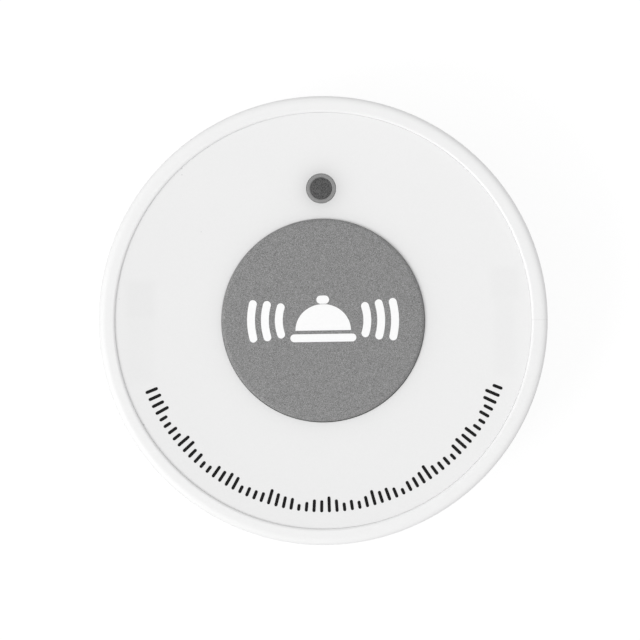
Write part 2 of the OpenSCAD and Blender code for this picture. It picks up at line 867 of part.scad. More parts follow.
// Least clear gap between two stretches of the wire at least half a turn apart
function coil_gap() =
    let (points = [for (i = [0:2 * coil_steps]) coil_point(i / coil_steps)])
    min([
        for (i = [0:coil_steps], j = [i + coil_steps / 2:2 * coil_steps])
            norm(points[i] - points[j]) - wire_d
    ]);

module antenna_coil() color("goldenrod") {
    rings = coil_rings();
    last = (len(rings) - 1) * wire_sides;
    echo(least_gap_between_antenna_turns = coil_gap());
    polyhedron(
        points = [for (r = rings) for (p = r) p],
        faces = concat(
            [for (k = [1:wire_sides - 2]) [0, k + 1, k]],
            [for (k = [1:wire_sides - 2]) [last, last + k, last + k + 1]],
            [
                for (i = [0:len(rings) - 2], k = [0:wire_sides - 1], half = [0, 1])
                    let (a = i * wire_sides + k, b = i * wire_sides + (k + 1) % wire_sides)
                        half == 0 ? [a, b, b + wire_sides] : [a, b + wire_sides, a + wire_sides]
            ]
        )
    );
}

module cell_can() color("silver") {
    rim_z = cell_top - cell_step;
    rotate_extrude()
        polygon(concat(
            [[0, cell_z]],
            arc(cell_d / 2 - can_round, cell_z + can_round, can_round, 270, 360, 3),
            arc(cell_d / 2 - can_round, rim_z - can_round, can_round, 0, 90, 3),
            [[cell_cap_r + cell_seal_t, rim_z], [cell_cap_r + cell_seal_t, cell_split], [0, cell_split]]
        ));
}

module cell_seal() color("dimgray")
    ring(cell_cap_r, cell_cap_r + cell_seal_t, cell_split, cell_top - cell_step + fit);

module cell_cap() color("silver")
    rotate_extrude()
        polygon(concat(
            [[0, cell_split], [cell_cap_r, cell_split]],
            arc(cell_cap_r - cap_round, cell_top - cap_round, cap_round, 0, 90, 3),
            [[0, cell_top]]
        ));

// A leaf that is soldered at one end, bows down onto the cell's cap and rises again
module negative_contact() color("gold") {
    flat_end = leaf_touch + leaf_flat;
    tip_x = flat_end + leaf_tip;
    tip_z = cell_top + leaf_rise;
    lean = contact_t / 2;
    rotate([90, 0, 0]) translate([0, 0, -contact_w / 2])
        linear_extrude(contact_w)
            polygon([
                [-leaf_end, board_z], [-leaf_end, board_z - contact_t],
                [-leaf_solder, board_z - contact_t], [leaf_touch, cell_top], [flat_end, cell_top],
                [tip_x, tip_z], [tip_x, tip_z + contact_t], [flat_end - lean, cell_top + contact_t],
                [leaf_touch + lean, cell_top + contact_t], [-leaf_solder, board_z]
            ]);
}

// A clip that is soldered outside the well and presses on the side of the cell's can
module positive_contact() color("gold") {
    arm_x = cell_d / 2 + fit;
    arm_z = lug_top + 4 * slip;
    foot_end = well_r + clip_foot;
    translate([arm_x, -contact_w / 2, arm_z]) cube([contact_t, contact_w, board_z - arm_z]);
    translate([arm_x, -contact_w / 2, board_z - contact_t])
        cube([foot_end - arm_x, contact_w, contact_t]);
}

module cell_door() color("whitesmoke")
    difference() {
        union() {
            rotate_extrude()
                polygon(concat(
                    [[0, door_z]],
                    arc(door_r - door_round, door_z + door_round, door_round, 270, 360, 4),
                    [
                        [door_r, door_top], [door_seal_r + door_groove_w / 2, door_top],
                        [door_seal_r + door_groove_w / 2, recess_top - door_seal_h],
                        [door_seal_r - door_groove_w / 2, recess_top - door_seal_h],
                        [door_seal_r - door_groove_w / 2, door_top], [spigot_r, door_top],
                        [spigot_r, lug_top], [spigot_in, lug_top], [spigot_in, door_top], [0, door_top]
                    ]
                ));
            around(lug_angles) sector(spigot_r - slip, lug_r, lug_z, lug_top, lug_span);
        }
        slab([slot_l, slot_w, slot_depth + eps], door_z - eps);
        translate([-mark_line[1] / 2, door_r - mark_line[0], door_z - eps])
            cube([mark_line[1], mark_line[0] + eps, mark_depth + eps]);
    }

module door_seal() color("darkgray")
    translate([0, 0, -eps]) flat_seal(door_seal_r, door_seal_d, door_seal_h - eps, recess_top);

rear_case();
foot_ring();
case_screws();
top_plate();
rim_seal();
silicone_membrane();
clamp_ring();
call_key();
circuit_board();
board_screws();
switch_body();
switch_cover();
switch_terminals();
switch_dome();
switch_stem();
indicator_light();
light_leads();
light_spacer();
encoder_chip();
radio_transistor();
chip_leads();
saw_resonator();
chip_resistors();
chip_capacitors();
antenna_coil();
cell_can();
cell_seal();
cell_cap();
negative_contact();
positive_contact();
cell_door();
door_seal();
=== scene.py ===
"""Looks for a round wireless call button that stands on a counter.

The CAD pieces stay where they are. Those that show get smoother, finer surfaces, and every piece
gets the finish of its real material. Objects are in metres, and sizes here are in millimetres.
"""

import json
import math
from functools import partial

import bmesh
import bpy
import numpy as np
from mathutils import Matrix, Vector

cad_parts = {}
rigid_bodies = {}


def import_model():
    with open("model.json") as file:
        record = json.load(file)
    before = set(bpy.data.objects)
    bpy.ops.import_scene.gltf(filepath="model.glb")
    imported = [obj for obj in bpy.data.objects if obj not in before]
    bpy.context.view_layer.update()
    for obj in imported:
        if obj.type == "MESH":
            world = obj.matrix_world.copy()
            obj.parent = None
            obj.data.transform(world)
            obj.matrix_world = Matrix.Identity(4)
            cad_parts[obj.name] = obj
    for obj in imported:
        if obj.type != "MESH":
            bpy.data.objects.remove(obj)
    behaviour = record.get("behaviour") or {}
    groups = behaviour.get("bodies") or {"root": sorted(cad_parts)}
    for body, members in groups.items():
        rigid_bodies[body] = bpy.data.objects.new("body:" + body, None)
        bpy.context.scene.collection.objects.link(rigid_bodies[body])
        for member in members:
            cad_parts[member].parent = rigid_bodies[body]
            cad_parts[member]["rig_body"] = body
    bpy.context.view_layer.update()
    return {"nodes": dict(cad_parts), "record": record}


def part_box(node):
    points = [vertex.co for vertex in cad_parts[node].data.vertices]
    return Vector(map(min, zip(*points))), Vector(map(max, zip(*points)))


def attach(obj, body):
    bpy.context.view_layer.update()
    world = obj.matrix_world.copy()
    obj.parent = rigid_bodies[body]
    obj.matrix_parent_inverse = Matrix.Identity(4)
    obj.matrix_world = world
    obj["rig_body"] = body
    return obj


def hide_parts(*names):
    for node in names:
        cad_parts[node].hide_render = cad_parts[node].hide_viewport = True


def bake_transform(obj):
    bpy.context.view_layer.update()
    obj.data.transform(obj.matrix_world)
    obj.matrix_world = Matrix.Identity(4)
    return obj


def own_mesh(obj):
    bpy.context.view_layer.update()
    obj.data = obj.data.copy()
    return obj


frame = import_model()

MM = 0.001
render_levels = 2


def bottom_of(node):
    """Height of a CAD piece's lowest point, in millimetres."""
    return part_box(node)[0].z / MM


def top_of(node):
    """Height of a CAD piece's highest point, in millimetres."""
    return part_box(node)[1].z / MM


# Membrane: the height of its web, which the key's flange stands above
WEB = 0.6
WEB_Z = bottom_of("silicone_membrane") + WEB
# A recess under the web stays clear of the switch's stem at full press
STEM_ROOM_R = 2.1
STEM_ROOM = 0.2
STEM_ROOM_SLOPE = 0.05

# Key: a shallow crown over a rounded edge, a wall, a flange under the plate and a pressing boss
KEY_R = 13.54
KEY_TOP = top_of("call_key")
KEY_LOW = bottom_of("call_key")
KEY_CROWN = 0.2
KEY_ROUND = 0.5
KEY_WALL = 1.3
KEY_FACE = 1.5
KEY_TRAVEL = 0.45
PRESS_ROOM = 0.05
KEY_FLANGE = 1.0
KEY_FLANGE_R = 14.4
KEY_FLANGE_Z = WEB_Z + PRESS_ROOM + KEY_TRAVEL
KEY_FLANGE_TOP = KEY_FLANGE_Z + KEY_FLANGE
KEY_BOSS_R = 2.6
# Four ribs join the boss to the wall, and run a little way into both
RIB_W = 0.9
RIB_H = 1.2
RIB_ROOT = 0.1
# Notches for the guides: their azimuths and half width in degrees. What lies beyond the first
# radius there is cut back to the second
GUIDES = (200, 340)
NOTCH_HALF = 3.2
NOTCH_FROM = KEY_R + 0.1
NOTCH_R = KEY_R + 0.15
# The key sits a little off the middle of its hole
KEY_SIT = (-0.02, 0.045, 0)

# Plate, and the housing's lip round it. The plate's edge comes within SEAM of the lip
PLATE_TOP = 15.65
KEY_HOLE_R = 13.58
LIP_R = 27.8
SEAM = 0.003
PLATE_SEAT = (27.6, LIP_R - SEAM)
# Where the circles of the seam are drawn finer: inner radius, outer radius and lowest height
CASE_LIP = (27.5, 28.3, 14)
PLATE_EDGE = (27.5, 28, 14)

# Housing: its widest height, and the broken edges of its battery door
BELT_Z = 13.0
DOOR_EDGE = 0.1

# Light: a barrel on a flange
LIGHT_Y = 17.65
LIGHT_R = 1.5
LIGHT_FLANGE = 1
LIGHT_FLANGE_R = LIGHT_R + 0.4

# Foot ring, and the grip grooves in its underside
FOOT_R = 23.5
FOOT_W = 4.0
FOOT_TOP = top_of("foot_ring")
GROOVE_PITCH = 0.9
GROOVE_DEPTH = 0.15
GROOVE_MOUTH_HALF = 0.2
GROOVE_BOTTOM_HALF = 0.12


# ---------------------------------------------------------------- colours and node trees


def linear(code):
    """The linear colour of an sRGB hex code."""
    parts = [int(code[i : i + 2], 16) / 255 for i in (1, 3, 5)]
    return tuple(c / 12.92 if c <= 0.04045 else ((c + 0.055) / 1.055) ** 2.4 for c in parts)


def add_node(tree, kind, inputs=(), give=None, **settings):
    """Adds a node with its settings, and returns one of its outputs, the first if none is named.

    Its inputs are values to set or outputs to link, in their order or by name.
    """
    node = tree.nodes.new("ShaderNode" + kind)
    for name, value in settings.items():
        setattr(node, name, value)
    for name, value in inputs.items() if isinstance(inputs, dict) else enumerate(inputs):
        if isinstance(value, bpy.types.NodeSocket):
            tree.links.new(value, node.inputs[name])
        else:
            node.inputs[name].default_value = value
    if give:
        return node.outputs[give]
    return next((out for out in node.outputs if out.enabled), None)


def fresh_nodes(owner):
    """Empties a material's or world's node tree, and returns a function that adds nodes to it."""
    owner.use_nodes = True
    owner.node_tree.nodes.clear()
    return partial(add_node, owner.node_tree)


def toned(add, code, *layers):
    """A colour times one factor for each layer.

    A layer is (value, low, high): the factor goes from low to high as the value goes from 0 to 1,
    or between the two values that follow, and is held beyond them.
    """
    total = 1.0
    for value, low, high, *reach in layers:
        factor = add("MapRange", (value, *(reach or (0, 1)), low, high))
        total = add("Math", (total, factor), operation="MULTIPLY")
    return add("VectorMath", {0: linear(code), "Scale": total}, operation="SCALE")


def from_axis(add, place, x=0.0, y=0.0):
    """Distance in millimetres from the upright line through (x, y)."""
    level = add("VectorMath", (place, (1, 1, 0)), operation="MULTIPLY")
    return add("VectorMath", (level, (x, y, 0)), "Value", operation="DISTANCE")


def finish(build):
    """A material named after build, which works out its shader's inputs from the place.

    The place is in millimetres, so a pattern's scale is 1 / the size in mm of what it draws.
    """
    material = bpy.data.materials.new(build.__name__)
    add = fresh_nodes(material)
    place = add("Mapping", {"Vector": add("TexCoord", give="Object"), "Scale": (1 / MM,) * 3})
    add("OutputMaterial", {"Surface": add("BsdfPrincipled", build(add, place))})
    return material


ABS_IOR = 1.53
# White ABS lets light in a little way
WHITE_ABS_BODY = {
    "Subsurface Weight": 0.08,
    "Subsurface Radius": (1, 1, 1),
    "Subsurface Scale": 0.0006,
    "IOR": ABS_IOR,
}
# The knit line is at this Y and starts over these X. The parting line starts over these radii
KNIT_Y = -0.33
KNIT_FROM = (27, 27.5)
PARTING_FROM = (29.7, 29.8)


def moulded_white_abs(add, place):
    """White ABS from a fine satin mould: even and a little waxy.

    It has flow clouds, a knit line and a parting line. The satin is a few hundredths of a
    millimetre fine, and is drawn at 0.25 mm so that it shows.
    """
    fine = add("TexNoise", {"Vector": place, "Scale": 1 / 0.25})
    clouds = add("TexNoise", {"Vector": place, "Scale": 1 / 7})
    x, y, z = (add("SeparateXYZ", (place,), axis) for axis in "XYZ")
    # The knit line is about 0.2 mm wide and runs across the rim on the right
    aside = add("Math", (add("Math", (y, KNIT_Y), operation="SUBTRACT"),), operation="ABSOLUTE")
    line = add("MapRange", (aside, 0.03, 0.12, 1, 0))
    knit = add("Math", (line, add("MapRange", (x, *KNIT_FROM, 0, 1))), operation="MULTIPLY")
    # The mould's halves met at the widest height, and left a ridge 0.15 mm wide and 0.03 mm high
    level = add("Math", (add("Math", (z, BELT_Z), operation="SUBTRACT"),), operation="ABSOLUTE")
    line = add("MapRange", (level, 0.03, 0.09, 1, 0))
    outside = add("MapRange", (from_axis(add, place), *PARTING_FROM, 0, 1))
    parting = add("Math", (line, outside), operation="MULTIPLY")
    ridge = add("Bump", {"Height": parting, "Distance": 0.03 * MM})
    return {
        "Base Color": toned(
            add,
            "#F0F0F0",
            (fine, 0.99, 1.01),
            (clouds, 0.992, 1.008),
            (knit, 1, 0.95),
            (parting, 1, 0.97),
        ),
        "Roughness": add("MapRange", (clouds, 0, 1, 0.4, 0.48)),
        "Normal": add("Bump", {"Height": fine, "Distance": 0.0012 * MM, "Normal": ridge}),
        **WHITE_ABS_BODY,
    }


# Painted shade over the sink marks where the plate's hooks draw its face in: (x, y, half width,
# half length, share of the colour taken off)
SINK_SHADES = (
    (-24.4, 3.1, 1.9, 2.6, 0.03), (-24.5, -2.4, 1.7, 5.6, 0.016),
    (24.4, 4.6, 1.9, 2.2, 0.026), (24.2, -0.4, 1.4, 7.2, 0.02),
)
SINK_SHADE_SOFT = 0.8
# Dust moulded into the plate: (x, y, radius)
DUST = (
    (-18.55, 19.75, 0.1), (-16.1, 12.1, 0.08), (-27.2, 3.3, 0.09), (-18.55, 20.6, 0.1),
    (-24.15, -13.52, 0.15),
)
# Painted shade round the light and the key's hole, for the shade there and for light that enters
# near a hole and leaves through its wall. It starts at this radius round the light and at the key's
# hole, and falls by e over each of these widths
LIGHT_SHADE_R = 2.25
LIGHT_SHADE_W = 1.0
KEY_SHADE_W = 1.2


def face_plate_abs(add, place):
    """White ABS, 1.5 mm thick: painted shade round its holes and over its hooks, and a few specks.
    """
    fine = add("TexNoise", {"Vector": place, "Scale": 1 / 0.25})
    clouds = add("TexNoise", {"Vector": place, "Scale": 1 / 5})
    x, y = (add("SeparateXYZ", (place,), axis) for axis in "XY")
    from_light, from_middle = from_axis(add, place, 0, LIGHT_Y), from_axis(add, place)
    # Painted shade round the light and round the key's hole
    hole_shades = []
    for distance, edge, width in (
        (from_light, LIGHT_SHADE_R, LIGHT_SHADE_W), (from_middle, KEY_HOLE_R, KEY_SHADE_W)
    ):
        beyond = add("Math", (distance, edge), operation="SUBTRACT")
        beyond = add("Math", (beyond, -1 / width), operation="MULTIPLY")
        hole_shades.append(add("Math", (beyond,), operation="EXPONENT"))
    # Painted light and shade: the face is darker towards the lower left and lighter towards the
    # upper right, more so near the rim
    outward = add("Math", (from_middle, 1 / LIP_R), operation="MULTIPLY")
    outward = add("Math", (outward, 2), operation="POWER")
    rim_shading = add("Math", (add("Math", (x, y), operation="ADD"), outward), operation="MULTIPLY")
    # Painted shade over the sink marks above the hooks
    sink_shade = 0.0
    for middle_x, middle_y, half_width, half_length, shade_share in SINK_SHADES:
        inside = shade_share
        for value, middle, half in ((x, middle_x, half_width), (y, middle_y, half_length)):
            away = add("Math", (value, middle), operation="SUBTRACT")
            away = add("Math", (away,), operation="ABSOLUTE")
            fall = (away, half - SINK_SHADE_SOFT, half + SINK_SHADE_SOFT, 1, 0)
            step = add("MapRange", fall, interpolation_type="SMOOTHSTEP")
            inside = add("Math", (inside, step), operation="MULTIPLY")
        sink_shade = add("Math", (sink_shade, inside), operation="MAXIMUM")
    dust = 0.0
    for dust_x, dust_y, radius in DUST:
        away = from_axis(add, place, dust_x, dust_y)
        speck = add("MapRange", (away, radius / 2, radius, 1, 0))
        dust = add("Math", (dust, speck), operation="MAXIMUM")
    return {
        "Base Color": toned(
            add,
            "#EDEDED",
            (fine, 0.985, 1.015),
            (clouds, 0.995, 1.005),
            (hole_shades[0], 1, 0.85),
            (hole_shades[1], 1, 0.95),
            (sink_shade, 1, 0),
            (rim_shading, 0.972, 1.02, -38, 38),
            (dust, 1, 0.75),
        ),
        "Roughness": add("MapRange", (clouds, 0, 1, 0.42, 0.5)),
        "Normal": add("Bump", {"Height": fine, "Distance": 0.0015 * MM}),
        **WHITE_ABS_BODY,
    }


def eroded_grey_abs(add, place):
    """Grey ABS from a spark-eroded mould: an even pepper-and-salt grain of 0.05 mm, no gloss."""
    pits = {"Vector": place, "Scale": 1 / 0.05}
    tone = add("SeparateXYZ", (add("TexVoronoi", pits, "Color"),))
    hollow = add("TexVoronoi", pits, "Distance")
    return {
        "Base Color": toned(add, "#828282", (tone, 0.33, 1.67)),
        "Roughness": add("MapRange", (hollow, 0, 1, 0.5, 0.62)),
        "Normal": add("Bump", {"Height": hollow, "Distance": 0.01 * MM}),
        "IOR": ABS_IOR,
    }


def grey_silicone_rubber(add, place):
    """Moulded silicone: matt, slightly see-into, with pale lint caught on it."""
    fine = add("TexNoise", {"Vector": place, "Scale": 1 / 0.2})
    lint = add("TexNoise", {"Vector": place, "Scale": 1 / 0.35, "Detail": 4})
    return {
        "Base Color": toned(add, "#8C8C8C", (fine, 0.94, 1.06), (lint, 1, 1.12, 0.62, 0.75)),
        "Roughness": add("MapRange", (fine, 0, 1, 0.55, 0.65)),
        "Normal": add("Bump", {"Height": fine, "Distance": 0.003 * MM}),
        "Subsurface Weight": 0.1,
        "Subsurface Radius": (1, 1, 1),
        "Subsurface Scale": 0.0004,
        "IOR": 1.42,
    }


def smoked_epoxy(add, place):
    """Cast epoxy, smoked and filled with diffuser: dark, mottled at 0.09 mm, with a dull skin."""
    filler = {"Vector": place, "Scale": 1 / 0.09}
    mottle = add("SeparateXYZ", (add("TexVoronoi", filler, "Color"),))
    skin = add("TexNoise", {"Vector": place, "Scale": 1 / 0.6})
    return {
        "Base Color": toned(add, "#424242", (mottle, 0, 2), (skin, 0.85, 1.15)),
        "Roughness": add("MapRange", (skin, 0, 1, 0.38, 0.5)),
        "Normal": add("Bump", {"Height": mottle, "Distance": 0.004 * MM}),
        "IOR": 1.54,
    }


def moulded_rubber(add, place):
    """Black rubber: matt, with a grey bloom that lies in broad patches."""
    fine = add("TexNoise", {"Vector": place, "Scale": 1 / 0.15})
    bloom = add("TexNoise", {"Vector": place, "Scale": 1 / 3, "Detail": 4})
    return {
        "Base Color": toned(add, "#2B2B2C", (fine, 0.85, 1.15), (bloom, 0.9, 1.5, 0.4, 0.75)),
        "Roughness": add("MapRange", (bloom, 0, 1, 0.7, 0.88)),
        "Normal": add("Bump", {"Height": fine, "Distance": 0.012 * MM}),
        "IOR": 1.5,
    }


def natural_nylon(add, place):
    """Unpigmented nylon: creamy and see-into, with faint flow marks drawn out along Y."""
    fine = add("TexNoise", {"Vector": place, "Scale": 1 / 0.3})
    along = add("Mapping", {"Vector": place, "Scale": (1, 0.3, 1)})
    flow = add("TexNoise", {"Vector": along, "Scale": 1 / 2.5})
    return {
        "Base Color": toned(add, "#E2DED0", (flow, 0.95, 1.04)),
        "Roughness": add("MapRange", (fine, 0, 1, 0.42, 0.55)),
        "Normal": add("Bump", {"Height": fine, "Distance": 0.003 * MM}),
        "Subsurface Weight": 0.2,
        "Subsurface Radius": (1, 0.9, 0.75),
        "Subsurface Scale": 0.0008,
        "IOR": 1.53,
    }


def zinc_plate(add, place):
    """Bright zinc over rolled steel: bluish, with soft cloudy patches and fine handling marks."""
    fine = add("TexNoise", {"Vector": place, "Scale": 1 / 0.12})
    patches = add("TexNoise", {"Vector": place, "Scale": 1 / 0.8, "Detail": 3})
    return {
        "Base Color": toned(add, "#B9BDC4", (patches, 0.9, 1.06)),
        "Metallic": 1.0,
        "Roughness": add("MapRange", (patches, 0, 1, 0.26, 0.46)),
        "Normal": add("Bump", {"Height": fine, "Distance": 0.002 * MM}),
    }


def glass_laminate(add, place):
    """Solder mask over woven glass cloth: green gloss, a weave, and copper tracks, paler."""
    # A wave texture repeats every pi / 10 / scale, here 0.5 mm
    thread = {"Vector": place, "Scale": 0.62}
    threads = [
        add("TexWave", thread, "Fac", bands_direction=way, wave_profile="SIN") for way in "XY"
    ]
    cloth = add("Math", threads, operation="MULTIPLY")
    turned = add("Mapping", {"Vector": place, "Rotation": (0, 0, math.radians(45))})
    bricks = {
        "Vector": turned,
        "Scale": 0.22,
        "Mortar Size": 0.045,
        "Brick Width": 0.9,
        "Row Height": 0.35,
    }
    tracks = add("TexBrick", bricks, "Fac", offset=0.35)
    weave = add("Bump", {"Height": cloth, "Distance": 0.004 * MM})
    return {
        "Base Color": toned(add, "#1A5A33", (cloth, 0.93, 1.05), (tracks, 1, 1.45)),
        "Roughness": add("MapRange", (cloth, 0, 1, 0.24, 0.34)),
        "Normal": add("Bump", {"Height": tracks, "Distance": 0.02 * MM, "Normal": weave}),
        "IOR": 1.55,
    }


def moulding_compound(add, place):
    """Filled epoxy and nylon for small electronics: black, matt, with fine pits."""
    pits = add("TexNoise", {"Vector": place, "Scale": 1 / 0.1, "Detail": 3})
    return {
        "Base Color": toned(add, "#1B1B1C", (pits, 0.75, 1.3, 0.3, 0.7)),
        "Roughness": add("MapRange", (pits, 0, 1, 0.45, 0.65)),
        "Normal": add("Bump", {"Height": pits, "Distance": 0.006 * MM}),
        "IOR": 1.55,
    }


def rolled_stainless(add, place):
    """Rolled stainless sheet: grey, with straight rolling lines along X.

    Real ones are finer, and are drawn 0.06 mm apart so that they show.
    """
    along = add("Mapping", {"Vector": place, "Scale": (0.04, 1, 1)})
    lines = add("TexNoise", {"Vector": along, "Scale": 1 / 0.06, "Detail": 3})
    return {
        "Base Color": toned(add, "#BEBEC0", (lines, 0.92, 1.06)),
        "Metallic": 1.0,
        "Roughness": add("MapRange", (lines, 0, 1, 0.22, 0.38)),
        "Normal": add("Bump", {"Height": lines, "Distance": 0.002 * MM}),
    }


def hot_tin(add, place):
    """Hot-dipped tin: bright, with a rippled skin and duller grain patches."""
    ripple = add("TexNoise", {"Vector": place, "Scale": 1 / 0.3, "Detail": 1})
    patches = add("TexNoise", {"Vector": place, "Scale": 1 / 0.15, "Detail": 3})
    return {
        "Base Color": toned(add, "#CBCBC9", (patches, 0.92, 1.04)),
        "Metallic": 1.0,
        "Roughness": add("MapRange", (patches, 0, 1, 0.2, 0.4)),
        "Normal": add("Bump", {"Height": ripple, "Distance": 0.01 * MM}),
    }


def drawn_nickel(add, place):
    """Nickel-plated steel, drawn into a can: warm grey, with rings round the axis and stains.

    Real rings are finer, and are drawn 0.16 mm apart so that they show.
    """
    turns = add("Math", (from_axis(add, place), 2 * math.pi / 0.16), operation="MULTIPLY")
    rings = add("MapRange", (add("Math", (turns,), operation="SINE"), -1, 1, 0, 1))
    stains = add("TexNoise", {"Vector": place, "Scale": 1 / 2.5, "Detail": 4})
    return {
        "Base Color": toned(add, "#C4BFB6", (stains, 0.88, 1.05)),
        "Metallic": 1.0,
        "Roughness": add("MapRange", (stains, 0, 1, 0.2, 0.34)),
        "Normal": add("Bump", {"Height": rings, "Distance": 0.001 * MM}),
    }


def black_ceramic(add, place):
    """Chip resistor: glazed black over alumina, glossy with a slight orange peel."""
    peel = add("TexNoise", {"Vector": place, "Scale": 1 / 0.25, "Detail": 1})
    return {
        "Base Color": toned(add, "#1D1D1F", (peel, 0.85, 1.2)),
        "Roughness": add("MapRange", (peel, 0, 1, 0.18, 0.3)),
        "Normal": add("Bump", {"Height": peel, "Distance": 0.006 * MM}),
        "IOR": 1.6,
    }


def tan_ceramic(add, place):
    """Chip capacitor: fired ceramic, tan, with fine darker grains."""
    grains = add("TexNoise", {"Vector": place, "Scale": 1 / 0.08, "Detail": 3})
    return {
        "Base Color": toned(add, "#9A7B54", (grains, 0.8, 1.15, 0.3, 0.7)),
        "Roughness": add("MapRange", (grains, 0, 1, 0.35, 0.5)),
        "Normal": add("Bump", {"Height": grains, "Distance": 0.004 * MM}),
        "IOR": 1.6,
    }


def enamelled_copper(add, place):
    """Copper wire under clear enamel: red-brown, deep gloss, with slow changes of tone along it."""
    slow = add("TexNoise", {"Vector": place, "Scale": 1 / 1.8})
    fine = add("TexNoise", {"Vector": place, "Scale": 1 / 0.15})
    return {
        "Base Color": toned(add, "#B4693A", (slow, 0.85, 1.1)),
        "Metallic": 1.0,
        "Roughness": add("MapRange", (fine, 0, 1, 0.2, 0.3)),
        "Coat Weight": 0.6,
        "Coat Roughness": 0.1,
        "Normal": add("Bump", {"Height": fine, "Distance": 0.002 * MM}),
    }


def gilt_bronze(add, place):
    """Spring bronze with a gold flash: yellow, with rolling lines along X that show through.

    Real ones are finer, and are drawn 0.08 mm apart so that they show.
    """
    along = add("Mapping", {"Vector": place, "Scale": (0.05, 1, 1)})
    lines = add("TexNoise", {"Vector": along, "Scale": 1 / 0.08, "Detail": 3})
    return {
        "Base Color": toned(add, "#D9B25F", (lines, 0.9, 1.05)),
        "Metallic": 1.0,
        "Roughness": add("MapRange", (lines, 0, 1, 0.2, 0.34)),
        "Normal": add("Bump", {"Height": lines, "Distance": 0.0015 * MM}),
    }


def white_pad_ink(add, place):
    """White pad-printing ink: dense, a little uneven where the pad let go."""
    drag = add("TexNoise", {"Vector": place, "Scale": 1 / 0.3, "Detail": 3})
    return {
        "Base Color": toned(add, "#FBFBFB", (drag, 0.96, 1.02)),
        "Roughness": add("MapRange", (drag, 0, 1, 0.45, 0.6)),
        "Normal": add("Bump", {"Height": drag, "Distance": 0.002 * MM}),
        "IOR": 1.5,
    }


def black_pad_ink(add, place):
    """Black pad-printing ink: dull, and so thin that the white under it lifts it in places."""
    drag = add("TexNoise", {"Vector": place, "Scale": 1 / 0.2, "Detail": 3})
    return {
        "Base Color": toned(add, "#0C0C0C", (drag, 0.6, 1.8)),
        "Roughness": add("MapRange", (drag, 0, 1, 0.55, 0.7)),
        "Normal": add("Bump", {"Height": drag, "Distance": 0.002 * MM}),
        "Specular IOR Level": 0.15,
        "IOR": 1.5,
    }


# ---------------------------------------------------------------- surfaces


# Angles between faces, in degrees: what is one flat face, what looks smooth, what gets a bevel
ONE_FACE = 0.3
SMOOTH = 32
BEVELLED = 50
# How far apart, in metres, two corners may be that are one, or that are level with each other
# or on one circle
SAME_POINT = 1e-6
PLAY = 5e-6


def shade(mesh, angle):
    """Smooth normals, apart from edges sharper than an angle in degrees."""
    mesh.shade_smooth()
    mesh.set_sharp_from_angle(angle=math.radians(angle))


def new_object(name, data):
    """An object for a mesh, lamp or camera, linked to the scene."""
    thing = bpy.data.objects.new(name, data)
    bpy.context.scene.collection.objects.link(thing)
    return thing


def place_piece(name, mesh, material, body, stands_for=()):
    """Puts a finished mesh in the scene with its material, its body and what it stands for."""
    mesh.materials.clear()
    mesh.materials.append(material)
    piece = new_object(name, mesh)
    if stands_for:
        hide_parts(*stands_for)
    if body:
        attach(piece, body)
    return piece


def joined_mesh(name, parts, angle):
    """One mesh from (points, faces) parts in millimetres, smooth up to an angle in degrees.

    Its doubles are merged and its normals turned outwards.
    """
    work = bmesh.new()
    for points, faces in parts:
        corners = [work.verts.new(p) for p in np.asarray(points, float) * MM]
        for face in faces:
            work.faces.new([corners[i] for i in face])
    bmesh.ops.remove_doubles(work, verts=work.verts, dist=1e-7)
    # A closed outline leaves one bare edge along the axis
    bare = [edge for edge in work.edges if not edge.link_faces]
    bmesh.ops.delete(work, geom=bare, context="EDGES")
    bmesh.ops.recalc_face_normals(work, faces=work.faces)
    mesh = bpy.data.meshes.new(name)
    work.to_mesh(mesh)
    work.free()
    shade(mesh, angle)
    return mesh


def grid_faces(rows, columns, close_rows=False, close_columns=True):
    """Quads of a grid of rows by columns, with the last joined to the first where closed."""
    i, j = np.meshgrid(
        np.arange(rows if close_rows else rows - 1),
        np.arange(columns if close_columns else columns - 1),
        indexing="ij",
    )
    up, right = (i + 1) % rows, (j + 1) % columns
    corners = [i * columns + j, i * columns + right, up * columns + right, up * columns + j]
    return np.stack(corners, -1).reshape(-1, 4).tolist()


def rounded(corners, step=9):
    """An outline with its corners rounded, by arcs with a point every step degrees.

    Each corner is (radius, height, rounding). Its arc leaves each side at rounding / tan(half the
    angle) from the corner, round a centre rounding / sin(half the angle) away. Two points beside
    each arc keep the light on the flat sides even.
    """
    shape = np.array(corners, float)
    outline = []
    for before, (x, z, radius), after in zip(np.roll(shape, 1, 0), shape, np.roll(shape, -1, 0)):
        here = np.array([x, z])
        back, on = before[:2] - here, after[:2] - here
        back_length, on_length = np.hypot(*back), np.hypot(*on)
        if radius <= 0 or min(back_length, on_length) < 1e-6:
            outline.append(here)
            continue
        back, on = back / back_length, on / on_length
        half = math.acos(np.clip(back @ on, -1, 1)) / 2
        reach = radius / math.tan(half)
        centre = here + (back + on) / np.linalg.norm(back + on) * radius / math.sin(half)
        first, last = here + back * reach - centre, here + on * reach - centre
        start = math.atan2(first[1], first[0])
        turn = (math.atan2(last[1], last[0]) - start + math.pi) % (2 * math.pi) - math.pi
        count = max(2, round(abs(math.degrees(turn)) / step))
        angles = start + turn * np.linspace(0, 1, count + 1)
        arc = centre + radius * np.stack([np.cos(angles), np.sin(angles)], -1)
        beside = min(radius, 0.1)
        if back_length > reach + 2 * beside:
            outline.append(here + back * (reach + beside))
        outline.extend(arc)
        if on_length > reach + 2 * beside:
            outline.append(here + on * (reach + beside))
    return np.array(outline)


def turned(outline, columns, centre=(0, 0)):
    """A closed outline of (radius, height) turned about the upright line through centre.

    Point (i, j) is centre + radius i * (cos, sin) of 360 * j / columns degrees, at height i. Rows
    with no radius close into a pole.
    """
    azimuth = np.radians(np.arange(columns) * 360 / columns)
    radius, height = np.asarray(outline, float).T
    x = centre[0] + radius[:, None] * np.cos(azimuth)
    y = centre[1] + radius[:, None] * np.sin(azimuth)
    z = np.broadcast_to(height[:, None], x.shape)
    faces = grid_faces(len(radius), columns, close_rows=True)
    return np.stack([x, y, z], -1).reshape(-1, 3), faces


